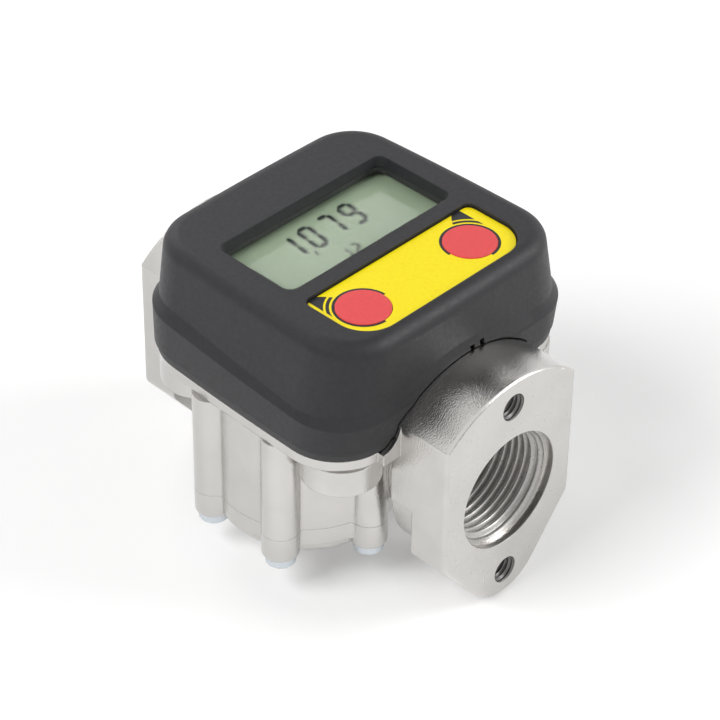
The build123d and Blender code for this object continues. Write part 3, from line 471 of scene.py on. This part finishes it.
def grid_faces(rows, columns, closed=False):
    """Quads of a grid of rows by columns of points; closed joins the last column to the first."""
    last = columns if closed else columns - 1
    row, column = np.meshgrid(np.arange(rows - 1), np.arange(last), indexing="ij")
    across = (column + 1) % columns
    quads = np.stack([row * columns + column, row * columns + across,
                      (row + 1) * columns + across, (row + 1) * columns + column], axis=-1)
    return quads.reshape(-1, 4)


def stand_in(node, slot, name):
    """Copy of a CAD node's form that stands for the node, so that single faces can be finished."""
    mesh = frame["nodes"][node].data.copy()
    mesh.name = name
    mesh.materials.clear()
    mesh.materials.append(finish_of(slot))
    piece = bpy.data.objects.new(name, mesh)
    bpy.context.scene.collection.objects.link(piece)
    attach(piece, "meter")
    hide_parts(node)
    return piece


def paint(node, slot):
    """Gives a CAD node that stays as it is the finish of its slot."""
    materials = frame["nodes"][node].data.materials
    materials.clear()
    materials.append(finish_of(slot))


# Threads

# The thread's foot stands a skin off the bore's wall, and its crest is a share of the pitch wide
THREAD_SKIN = 0.02 * MM
CREST_SHARE = 0.16
POINTS_AROUND = 96
ROWS_PER_TURN = 16


def thread(name, centre_z, face_y, inward, radius, depth, pitch, length, material):
    """Internal thread as a helical ridge on a bore's wall.

    The angle runs round the bore and the second parameter runs along it. The radius at each point is
    the bore's radius less a skin and the ridge, a trapezium wave of the place along the bore less the
    share of a turn, which makes one helix. The ridge rises from nothing over the first turn.
    """
    rows = int(length / pitch * ROWS_PER_TURN)
    angle = np.linspace(0, 2 * pi, POINTS_AROUND, endpoint=False)
    turn, deep = np.meshgrid(angle, np.linspace(0, length, rows))
    phase = (deep / pitch - turn / (2 * pi)) % 1.0
    wave = np.clip((0.5 - np.abs(phase - 0.5)) * 2 / (1 - CREST_SHARE), 0, 1)
    rise = np.clip(deep / pitch, 0, 1)
    r = radius - THREAD_SKIN - (depth - THREAD_SKIN) * wave * rise
    points = np.stack([r * np.cos(turn), face_y + inward * deep, centre_z + r * np.sin(turn)], axis=-1)
    faces = grid_faces(rows, POINTS_AROUND, closed=True)
    if inward > 0:
        faces = faces[:, ::-1]
    return mesh_object(name, points.reshape(-1, 3), faces.tolist(), material, smooth=True)


class METER_OT_threads(bpy.types.Operator):
    """Puts the threads' ridges into both ports and the four flange holes"""
    bl_idname = "meter.threads"
    bl_label = "Threads"

    def execute(self, context):
        sizes = context.scene.meter_thread
        turned = turned_metal("port_thread_metal", PORT_THREAD_SHARE)
        tapped = turned_metal("bolt_thread_metal", BOLT_THREAD_SHARE)
        ends = (("front", FRONT_PORT, FRONT_Y, 1), ("rear", REAR_PORT, REAR_Y, -1))
        for side, port, face, inward in ends:
            mouth = port["pos_m"][1]
            ridge = thread(f"{side}_port_thread", 0, mouth, inward, PORT_R, sizes.port_depth,
                           sizes.port_pitch, PORT_LENGTH, turned)
            for level, z in (("lower", -BOLT_SPACING / 2), ("upper", BOLT_SPACING / 2)):
                ridge = thread(f"{side}_{level}_bolt_thread", z, face, inward, BOLT_R, sizes.bolt_depth,
                               sizes.bolt_pitch, BOLT_DEPTH, tapped)
        return {"FINISHED"}


# Casting and head

# A triangle of a flange face lies this close to an end plane and faces this squarely along Y
END_BAND = 0.2 * MM
SQUARE_ON = 0.99


def mill_faces(casting):
    """Gives the two flange faces, which lie in the end planes, the milled finish."""
    mesh = casting.data
    mesh.materials.append(milled_metal())
    count = len(mesh.polygons)
    normal, middle = np.empty(count * 3), np.empty(count * 3)
    mesh.polygons.foreach_get("normal", normal)
    mesh.polygons.foreach_get("center", middle)
    square = np.abs(normal.reshape(-1, 3)[:, 1]) > SQUARE_ON
    y = middle.reshape(-1, 3)[:, 1]
    on_end = np.minimum(np.abs(y - FRONT_Y), np.abs(y - REAR_Y)) < END_BAND
    mesh.polygons.foreach_set("material_index", (square & on_end).astype(np.int32))


class METER_OT_casting(bpy.types.Operator):
    """Dresses the cast body, its cover and the cover screws"""
    bl_idname = "meter.casting"
    bl_label = "Casting"

    def execute(self, context):
        mill_faces(stand_in("meter_body", "cast_metal", "casting"))
        paint("bottom_cover", "cast_metal")
        paint("cover_screws", "screw_steel")
        return {"FINISHED"}


class METER_OT_head(bpy.types.Operator):
    """Dresses the rubber cover and the hard housing under it"""
    bl_idname = "meter.head"
    bl_label = "Head"

    def execute(self, context):
        paint("rubber_cover", "cover_rubber")
        paint("housing_base", "housing")
        paint("housing_lid", "housing")
        return {"FINISHED"}


# Display

# Ends of the segments in a box of one by one, and the segments that each digit lights
SEGMENTS = {
    "a": ((0, 1), (1, 1)), "b": ((1, 1), (1, 0.5)), "c": ((1, 0.5), (1, 0)), "d": ((0, 0), (1, 0)),
    "e": ((0, 0.5), (0, 0)), "f": ((0, 1), (0, 0.5)), "g": ((0, 0.5), (1, 0.5)),
}
LIT = {"0": "abcdef", "1": "bc", "2": "abged", "7": "abc", "9": "abcdfg"}
DIGIT_SLANT = 0.10
SEGMENT_GAP = 0.12

# Texts, and the lower left corners of their first digits from the meter's middle
LARGE_TEXT = "1079"
LARGE_CORNER = (-14.2 * MM, 6.6 * MM)
SMALL_TEXT = "12"
SMALL_CORNER = (-4.0 * MM, -2.6 * MM)
SMALL_WIDTH = 2.4 * MM
SMALL_HEIGHT = 5.0 * MM
SMALL_STROKE = 0.65 * MM
SMALL_PITCH = 3.9 * MM

# The comma's upper left corner, and its outline from there
COMMA_CORNER = (-8.1 * MM, 7.0 * MM)
COMMA_OUTLINE = np.array([(-0.4, -1.9), (0.2, -1.9), (0.6, 0.0), (0.0, 0.0)]) * MM

# The segments float over the glass. Their shadow on it is painted: a darker copy of their own form, a
# little to the front and right
DIGIT_LIFT = 0.03 * MM
DIGIT_THICK = 0.02 * MM
SHADE_LIFT = 0.005 * MM
SHADE_THICK = 0.01 * MM
SHADE_OFFSET = np.array([0.35 * MM, -0.40 * MM])
SHADE_SHARE = 0.66


def segment(ends, stroke):
    """Six corners of one segment: a bar with pointed tips, a gap short of its two ends."""
    start, end = ends
    along = (end - start) / np.linalg.norm(end - start)
    across = np.array([-along[1], along[0]]) * stroke / 2
    gap, point = along * SEGMENT_GAP * stroke, along * stroke / 2
    tip_a, tip_b = start + gap, end - gap
    neck_a, neck_b = tip_a + point, tip_b - point
    return np.array([tip_a, neck_a - across, neck_b - across, tip_b, neck_b + across, neck_a + across])


def digit_outlines(text, corner, width, height, stroke, pitch):
    """Outlines of all lit segments of a text of digits.

    A segment joins two corners of a box of one by one, which is scaled to the digit's middle lines
    and sheared to the right by the slant.
    """
    middle_size = np.array([width - stroke, height - stroke])
    shapes = []
    for place, digit in enumerate(text):
        for key in LIT[digit]:
            shape = segment(np.array(SEGMENTS[key]) * middle_size + stroke / 2, stroke)
            shape[:, 0] += corner[0] + place * pitch + DIGIT_SLANT * shape[:, 1]
            shape[:, 1] += corner[1]
            shapes.append(shape)
    return shapes


def plates(name, shapes, z, thick, material):
    """Thin flat plates with the given outlines, as one piece.

    Each outline stands at a lower and an upper height, with a face on both and a quad along each side.
    """
    points, faces, start = [], [], 0
    for shape in shapes:
        count = len(shape)
        corner = np.arange(count)
        ahead = (corner + 1) % count
        sides = np.stack([corner, ahead, count + ahead, count + corner], axis=-1) + start
        points += [np.column_stack([shape, np.full(count, level)]) for level in (z, z + thick)]
        faces += [(start + corner[::-1]).tolist(), (start + count + corner).tolist(), *sides.tolist()]
        start += 2 * count
    return mesh_object(name, np.concatenate(points), faces, material, smooth=False)


class METER_OT_display(bpy.types.Operator):
    """Gives the display its glass, its pane, its digits and a painted shadow under them"""
    bl_idname = "meter.display"
    bl_label = "Display"

    def execute(self, context):
        sizes = context.scene.meter_display
        paint("lcd_panel", "lcd")
        paint("window_lens", "lens")
        middle = np.array([0, MID_Y])
        shapes = digit_outlines(LARGE_TEXT, middle + LARGE_CORNER, sizes.digit_width, sizes.digit_height,
                                sizes.digit_stroke, sizes.digit_pitch)
        shapes.append(middle + COMMA_CORNER + COMMA_OUTLINE)
        shapes += digit_outlines(SMALL_TEXT, middle + SMALL_CORNER, SMALL_WIDTH, SMALL_HEIGHT,
                                 SMALL_STROKE, SMALL_PITCH)
        dark = print_or_painted_shade("digit_ink", head().digit_colour, DIGIT_ROUGHNESS)
        # Painted shadow: the display's own colour, darkened by a share, laid under the digits where
        # their shadow falls
        shade = print_or_painted_shade("digit_painted_shade", scaled(head().lcd_colour, SHADE_SHARE), DIGIT_ROUGHNESS)
        fallen = [shape + SHADE_OFFSET for shape in shapes]
        under = plates("display_digit_shade", fallen, LCD_TOP + SHADE_LIFT, SHADE_THICK, shade)
        over = plates("display_digits", shapes, LCD_TOP + DIGIT_LIFT, DIGIT_THICK, dark)
        return {"FINISHED"}


# Keypad

# The print lies just above the label
PRINT_HEIGHT = 0.03 * MM

# Ring print round three quarters of a button: from its front, by its outer side and rear, to its
# inner side
RING_RADII = (7.45 * MM, 8.15 * MM)
RING_START = -pi / 2
RING_END = pi

# Bands beyond the ring, at the label's rear corners: they run from the side strip's inner edge to a
# leaning line, whose angle is given at two radii, and stop at the label's rear edge
BAND_RADII = ((8.75 * MM, 9.65 * MM), (10.25 * MM, 14.1 * MM))
STRIP_X = 8.35 * MM
REAR_REACH = 11.55 * MM
LEAN_NEAR_R = 8.2 * MM
LEAN_FAR_R = 12.5 * MM
LEAN_NEAR = radians(74.8)
LEAN_FAR = radians(65.7)

PRINT_ROWS = 14
PRINT_COLUMNS = 30


def polar_print(name, centre, radii, low_angle, high_angle, mirror, material):
    """Flat print between two radii round a centre.

    The first parameter is the radius. The second one is the share of the way from a low to a high
    angle, which are functions of the radius. Mirror is -1 for the left-hand print.
    """
    r = np.linspace(*radii, PRINT_ROWS)[:, None]
    low, high = low_angle(r), high_angle(r)
    angle = low + (high - low) * np.linspace(0, 1, PRINT_COLUMNS)
    x = centre[0] + mirror * r * np.cos(angle)
    y = centre[1] + r * np.sin(angle)
    points = np.stack([x, y, np.full_like(x, LABEL_TOP + PRINT_HEIGHT)], axis=-1)
    faces = grid_faces(PRINT_ROWS, PRINT_COLUMNS)
    if mirror > 0:
        faces = faces[:, ::-1]
    return mesh_object(name, points.reshape(-1, 3), faces.tolist(), material, smooth=False)


def band_start(r):
    """Angle at which a circle of this radius meets the inner edge of the side strip."""
    return np.arccos(np.minimum(1.0, STRIP_X / r))


def band_end(r):
    """Angle of the leaning line at a radius, kept inside the label's rear edge."""
    share = (r - LEAN_NEAR_R) / (LEAN_FAR_R - LEAN_NEAR_R)
    lean = LEAN_NEAR + (LEAN_FAR - LEAN_NEAR) * share
    rear = np.arcsin(np.minimum(1.0, REAR_REACH / r))
    return np.maximum(np.minimum(lean, rear), band_start(r))


class METER_OT_keypad(bpy.types.Operator):
    """Prints the keypad label and finishes the buttons"""
    bl_idname = "meter.keypad"
    bl_label = "Keypad"

    def execute(self, context):
        ink = print_or_painted_shade("label_ink", head().print_colour, INK_ROUGHNESS)
        paint("keypad_label", "label")
        for name, mirror in (("total", -1), ("reset", 1)):
            centre = BUTTONS[name]
            ring = polar_print(f"{name}_ring_print", centre, RING_RADII, lambda r: RING_START,
                               lambda r: RING_END, mirror, ink)
            for count, radii in enumerate(BAND_RADII, 1):
                band = polar_print(f"{name}_corner_print_{count}", centre, radii, band_start,
                                   band_end, mirror, ink)
            paint(f"{name}_button", "button")
        return {"FINISHED"}


# Inner pieces

INNER_SLOTS = {
    "cover_seal": "seal_rubber", "left_gear": "gear_plastic", "right_gear": "gear_plastic",
    "left_gear_bush": "bush", "right_gear_bush": "bush", "gear_pins": "pin_steel",
    "gear_magnets": "magnet", "housing_gasket": "seal_rubber", "head_screws": "screw_steel",
    "display_frame": "frame_plastic", "contact_strips": "strip", "total_switch_plunger": "switch",
    "reset_switch_plunger": "switch", "push_switches": "switch", "circuit_board": "board",
    "board_standoffs": "contact", "board_parts": "electronics", "batteries": "cell_can",
    "battery_holder": "frame_plastic", "battery_contacts": "contact", "sensor_board": "board",
    "pulse_sensor": "electronics",
}


class METER_OT_inside(bpy.types.Operator):
    """Gives the inner pieces their finishes"""
    bl_idname = "meter.inside"
    bl_label = "Inner pieces"

    def execute(self, context):
        for node, slot in INNER_SLOTS.items():
            paint(node, slot)
        return {"FINISHED"}


# Stage

# The camera's direction from the meter, its roll, and its place from the meter's middle on the port
# axis: across, up and back, along its own axes
CAMERA_AZIMUTH = radians(46.350)
CAMERA_ELEVATION = radians(38.249)
CAMERA_ROLL = radians(0.841)
CAMERA_OFFSET = (2.114 * MM, 8.974 * MM, 814.056 * MM)
CAMERA_LENS = 149.162
SENSOR_WIDTH = 36.0
CLIP_NEAR = 0.01
CLIP_FAR = 20

FLOOR_SIZE = (6.0, 6.0)
FLOOR_DROP = 0.5 * MM
FLOOR_COLOUR = (0.93, 0.93, 0.93, 1)
FLOOR_ROUGHNESS = 0.9
FLOOR_GLOW = 0.2
WORLD_LIGHT = 0.22
CARD_COLOUR = (0.02, 0.02, 0.02, 1)
STAGE_TARGET = (0, MID_Y, 0.02)

# Lamps: name, place, size, power in watts, and whether metal reflects them
LAMPS = (
    ("key", (-1.0, 0.35, 1.0), (0.8, 0.8), 15, False),
    ("fill", (0.9, -0.85, 0.8), (0.8, 0.8), 11, True),
    ("rear", (0.3, 1.2, 0.9), (0.8, 0.5), 3, True),
)

# Dark cards: name, place and size
CARDS = (
    ("card_above", (0.35, 0.30, 0.9), (0.5, 0.7)),
    ("card_left", (-0.9, 0.35, 0.25), (0.5, 0.35)),
    ("card_front", (0.15, -1.0, 0.12), (0.35, 0.3)),
)


def camera_axes():
    """The camera's right, up and back directions."""
    a, e, roll = CAMERA_AZIMUTH, CAMERA_ELEVATION, CAMERA_ROLL
    back = Vector((-sin(a) * cos(e), -cos(a) * cos(e), sin(e)))
    level = Vector((cos(a), -sin(a), 0))
    rise = back.cross(level)
    right = level * cos(roll) + rise * sin(roll)
    up = rise * cos(roll) - level * sin(roll)
    return right, up, back


def make_camera():
    """Camera at the photograph's viewing angle."""
    right, up, back = camera_axes()
    data = bpy.data.cameras.new("camera")
    data.sensor_width = SENSOR_WIDTH
    data.lens = CAMERA_LENS
    data.clip_start = CLIP_NEAR
    data.clip_end = CLIP_FAR
    camera = bpy.data.objects.new("camera", data)
    x, y, z = CAMERA_OFFSET
    place = Vector((0, MID_Y, 0)) + right * x + up * y + back * z
    turn = Matrix((right, up, back)).transposed()
    camera.matrix_world = Matrix.Translation(place) @ turn.to_4x4()
    bpy.context.scene.collection.objects.link(camera)
    bpy.context.scene.camera = camera


def aim(thing, place):
    """Puts a lamp or a card at a place, turned to the stage's target."""
    thing.location = place
    thing.rotation_mode = "QUATERNION"
    thing.rotation_quaternion = (Vector(STAGE_TARGET) - Vector(place)).to_track_quat("-Z", "Y")


def rectangle(name, size, z=0):
    """Flat rectangle round the origin, at a height, as an object in the scene."""
    x, y = size[0] / 2, size[1] / 2
    mesh = bpy.data.meshes.new(name)
    mesh.from_pydata([(-x, -y, z), (x, -y, z), (x, y, z), (-x, y, z)], [], [(0, 1, 2, 3)])
    sheet = bpy.data.objects.new(name, mesh)
    bpy.context.scene.collection.objects.link(sheet)
    return sheet


def dark_card(name, place, size):
    """Dark board that only reflections see, as round a table in a studio."""
    card = rectangle(name, size)
    aim(card, place)
    material, tree, shader = new_material(name)
    shader.inputs["Base Color"].default_value = CARD_COLOUR
    shader.inputs["Roughness"].default_value = 1.0
    card.data.materials.append(material)
    card.visible_camera = False
    card.visible_diffuse = False
    card.visible_shadow = False
    card.visible_transmission = False


def area_light(name, place, size, power, mirrored):
    """Soft rectangular lamp; metal reflects it if mirrored."""
    data = bpy.data.lights.new(name, "AREA")
    data.shape = "RECTANGLE"
    data.size, data.size_y = size
    data.energy = power
    lamp = bpy.data.objects.new(name, data)
    lamp.visible_glossy = mirrored
    aim(lamp, place)
    bpy.context.scene.collection.objects.link(lamp)


def seen_share(tree):
    """One for what the camera sees, straight or by glossy and clear surfaces, and nought for light."""
    path = add(tree, "ShaderNodeLightPath")
    either = add(tree, "ShaderNodeMath", operation="MAXIMUM")
    seen = add(tree, "ShaderNodeMath", operation="MAXIMUM")
    tree.links.new(path.outputs["Is Camera Ray"], either.inputs[0])
    tree.links.new(path.outputs["Is Transmission Ray"], either.inputs[1])
    tree.links.new(either.outputs[0], seen.inputs[0])
    tree.links.new(path.outputs["Is Glossy Ray"], seen.inputs[1])
    return seen.outputs[0]


def make_floor():
    """White floor just under the meter, with a faint glow of its own where it is seen."""
    floor = rectangle("floor", FLOOR_SIZE, CAD_BOX[0].z - FLOOR_DROP)
    material, tree, shader = new_material("floor")
    shader.inputs["Base Color"].default_value = FLOOR_COLOUR
    shader.inputs["Roughness"].default_value = FLOOR_ROUGHNESS
    shader.inputs["Specular IOR Level"].default_value = 0.0
    shader.inputs["Emission Color"].default_value = (1, 1, 1, 1)
    glow = spread(tree, seen_share(tree), 0.0, FLOOR_GLOW)
    tree.links.new(glow, shader.inputs["Emission Strength"])
    floor.data.materials.append(material)


def make_world():
    """White world that is seen at full strength and lights the meter with a share of it."""
    world = bpy.data.worlds.new("studio")
    bpy.context.scene.world = world
    world.use_nodes = True
    tree = world.node_tree
    background = next(n for n in tree.nodes if n.type == "BACKGROUND")
    background.inputs["Color"].default_value = (1, 1, 1, 1)
    strength = spread(tree, seen_share(tree), WORLD_LIGHT, 1.0)
    tree.links.new(strength, background.inputs["Strength"])


class METER_OT_stage(bpy.types.Operator):
    """Sets the floor, the lamps, the cards, the world and the camera"""
    bl_idname = "meter.stage"
    bl_label = "Stage"

    def execute(self, context):
        make_camera()
        make_floor()
        for lamp in LAMPS:
            area_light(*lamp)
        for card in CARDS:
            dark_card(*card)
        make_world()
        context.scene.view_settings.view_transform = "Standard"
        return {"FINISHED"}


class METER_PT_panel(bpy.types.Panel):
    """Lists the meter's pieces and their sizes and colours"""
    bl_idname = "METER_PT_panel"
    bl_label = "Digital fuel meter"
    bl_space_type = "VIEW_3D"
    bl_region_type = "UI"
    bl_category = "Meter"

    def draw(self, context):
        for operator in OPERATORS:
            self.layout.operator(operator.bl_idname)
        for name in GROUPS:
            group = getattr(context.scene, name)
            box = self.layout.box()
            for key in group.__annotations__:
                box.prop(group, key)


GROUPS = {"meter_metal": MeterMetal, "meter_head": MeterHead, "meter_display": MeterDisplay,
          "meter_thread": MeterThread}
OPERATORS = (METER_OT_casting, METER_OT_threads, METER_OT_head, METER_OT_display, METER_OT_keypad,
             METER_OT_inside, METER_OT_stage)


def register():
    """Registers the property groups, the operators and the panel."""
    for name, group in GROUPS.items():
        bpy.utils.register_class(group)
        setattr(bpy.types.Scene, name, PointerProperty(type=group))
    for operator in OPERATORS:
        bpy.utils.register_class(operator)
    bpy.utils.register_class(METER_PT_panel)


def unregister():
    """Takes them out again."""
    bpy.utils.unregister_class(METER_PT_panel)
    for operator in reversed(OPERATORS):
        bpy.utils.unregister_class(operator)
    for name, group in GROUPS.items():
        delattr(bpy.types.Scene, name)
        bpy.utils.unregister_class(group)


def main():
    """Registers the classes and makes everything in order."""
    register()
    for operator in OPERATORS:
        group, name = operator.bl_idname.split(".")
        getattr(getattr(bpy.ops, group), name)()


if __name__ == "__main__":
    main()
